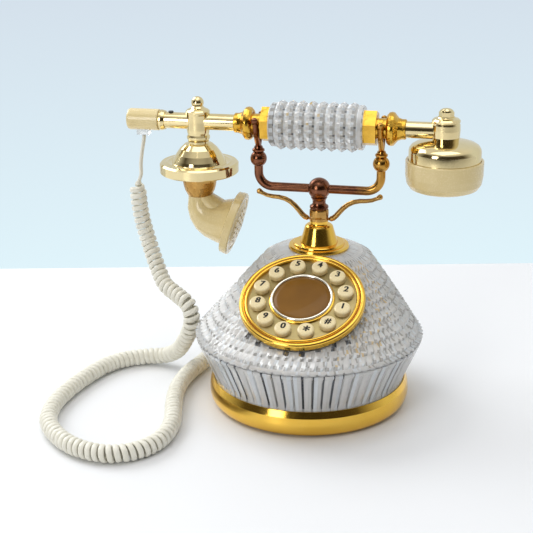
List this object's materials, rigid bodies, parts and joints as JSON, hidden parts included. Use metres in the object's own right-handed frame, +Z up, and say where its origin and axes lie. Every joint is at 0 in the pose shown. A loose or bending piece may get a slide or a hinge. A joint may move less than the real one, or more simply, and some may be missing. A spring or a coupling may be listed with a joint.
{
  "type": "telephone",
  "caption": "French-style push-button desk telephone: ribbed glass body on a gilt base ring, turned column with a cradle, handset with glass grip, horn mouthpiece and curly cord.",
  "frame": {"origin": "on the table, under the middle of the telephone measured without its cord", "axes": "+Z up, +X along the handset from the mouthpiece to the receiver, -Y towards the person who faces the dial"},
  "size_m": [0.3035, 0.2214, 0.2159],
  "materials": {
    "gilt": "bright yellow gold plate, polished on the slopes and satin on the rolls",
    "champagne": "pale champagne gold plate, polished",
    "copper_bronze": "antique copper bronze plate, polished, nearly black where it reflects nothing",
    "aged_brass": "aged brass, satin",
    "pressed_glass": "clear pressed glass with fine ribs, slightly warm",
    "ivory_plastic": "glossy ivory plastic",
    "ivory_key": "glossy ivory plastic with black figures",
    "cord_ivory": "satin ivory vinyl",
    "clear_plastic": "clear moulded plastic",
    "dial_brass": "brushed olive brass",
    "silver_trim": "bright warm silver",
    "card_lacquer": "glossy brown under a clear lens",
    "steel": "zinc plated",
    "black_steel": "black paint, satin",
    "black_plastic": "black moulded plastic",
    "ivory_rubber": "matt soft rubber",
    "circuit_board": "green lacquered glass-fibre board"
  },
  "bodies": {
    "telephone": {"rubber_feet": "ivory_rubber", "base_plate": "black_steel", "base_screws": "steel", "base_ring": "gilt", "glass_skirt": "pressed_glass", "glass_dome": "pressed_glass", "dial_housing": "black_plastic", "dial_bezel": "gilt", "dial_plate": "dial_brass", "dial_centre_ring": "silver_trim", "dial_card": "card_lacquer", "keypad_membrane": "ivory_rubber", "keypad_board": "circuit_board", "main_board": "circuit_board", "rear_jacks": "black_plastic", "column_flange": "gilt", "column_nut": "steel", "column_bell": "gilt", "column_collar": "aged_brass", "scroll_arms": "aged_brass", "hook_spring": "steel", "hook_switch": "black_plastic", "cord_handset_lead": "cord_ivory", "cord_curl": "cord_ivory", "cord_base_lead": "cord_ivory", "base_plug": "clear_plastic"},
    "cradle": {"hook_rod": "steel", "cradle_ball": "copper_bronze", "cradle_yoke": "copper_bronze", "cradle_forks": "copper_bronze"},
    "handset": {"handset_tube": "champagne", "glass_grip": "pressed_glass", "spools": "gilt", "cord_cap": "ivory_plastic", "cap_ring": "champagne", "set_screw": "black_steel", "handset_plug": "clear_plastic", "transmitter_tee": "champagne", "tee_finials": "champagne", "transmitter_bell": "champagne", "horn_cup": "aged_brass", "mouthpiece_horn": "ivory_plastic", "mouthpiece_grille": "ivory_plastic", "microphone": "black_plastic", "receiver_tee": "champagne", "receiver_dome": "champagne", "ear_cap": "ivory_plastic", "speaker": "black_plastic"},
    "key_1": {"button_1": "ivory_key"},
    "key_2": {"button_2": "ivory_key"},
    "key_3": {"button_3": "ivory_key"},
    "key_4": {"button_4": "ivory_key"},
    "key_5": {"button_5": "ivory_key"},
    "key_6": {"button_6": "ivory_key"},
    "key_7": {"button_7": "ivory_key"},
    "key_8": {"button_8": "ivory_key"},
    "key_9": {"button_9": "ivory_key"},
    "key_0": {"button_0": "ivory_key"},
    "key_star": {"button_star": "ivory_key"},
    "key_hash": {"button_hash": "ivory_key"}
  },
  "joints": [
    {"name": "press_1", "type": "slide", "parent": "telephone", "child": "key_1", "axis": [0, 0.4384, -0.8988], "range_m": [0, 0.0022], "stiffness_N_per_m": 300, "springref_m": -0.0006},
    {"name": "press_2", "type": "slide", "parent": "telephone", "child": "key_2", "axis": [0, 0.4384, -0.8988], "range_m": [0, 0.0022], "stiffness_N_per_m": 300, "springref_m": -0.0006},
    {"name": "press_3", "type": "slide", "parent": "telephone", "child": "key_3", "axis": [0, 0.4384, -0.8988], "range_m": [0, 0.0022], "stiffness_N_per_m": 300, "springref_m": -0.0006},
    {"name": "press_4", "type": "slide", "parent": "telephone", "child": "key_4", "axis": [0, 0.4384, -0.8988], "range_m": [0, 0.0022], "stiffness_N_per_m": 300, "springref_m": -0.0006},
    {"name": "press_5", "type": "slide", "parent": "telephone", "child": "key_5", "axis": [0, 0.4384, -0.8988], "range_m": [0, 0.0022], "stiffness_N_per_m": 300, "springref_m": -0.0006},
    {"name": "press_6", "type": "slide", "parent": "telephone", "child": "key_6", "axis": [0, 0.4384, -0.8988], "range_m": [0, 0.0022], "stiffness_N_per_m": 300, "springref_m": -0.0006},
    {"name": "press_7", "type": "slide", "parent": "telephone", "child": "key_7", "axis": [0, 0.4384, -0.8988], "range_m": [0, 0.0022], "stiffness_N_per_m": 300, "springref_m": -0.0006},
    {"name": "press_8", "type": "slide", "parent": "telephone", "child": "key_8", "axis": [0, 0.4384, -0.8988], "range_m": [0, 0.0022], "stiffness_N_per_m": 300, "springref_m": -0.0006},
    {"name": "press_9", "type": "slide", "parent": "telephone", "child": "key_9", "axis": [0, 0.4384, -0.8988], "range_m": [0, 0.0022], "stiffness_N_per_m": 300, "springref_m": -0.0006},
    {"name": "press_0", "type": "slide", "parent": "telephone", "child": "key_0", "axis": [0, 0.4384, -0.8988], "range_m": [0, 0.0022], "stiffness_N_per_m": 300, "springref_m": -0.0006},
    {"name": "press_star", "type": "slide", "parent": "telephone", "child": "key_star", "axis": [0, 0.4384, -0.8988], "range_m": [0, 0.0022], "stiffness_N_per_m": 300, "springref_m": -0.0006},
    {"name": "press_hash", "type": "slide", "parent": "telephone", "child": "key_hash", "axis": [0, 0.4384, -0.8988], "range_m": [0, 0.0022], "stiffness_N_per_m": 300, "springref_m": -0.0006},
    {"name": "handset_lift", "type": "slide", "parent": "telephone", "child": "handset", "axis": [0, 0, 1], "range_m": [0, 0.08]},
    {"name": "cradle_rise", "type": "slide", "parent": "telephone", "child": "cradle", "axis": [0, 0, 1], "range_m": [0, 0.005], "stiffness_N_per_m": 200, "springref_m": 0.006, "deforming": ["hook_spring"]}
  ],
  "couplings": [
    {"joint": "cradle_rise", "follows": "handset_lift", "ratio": 0.0625}
  ]
}
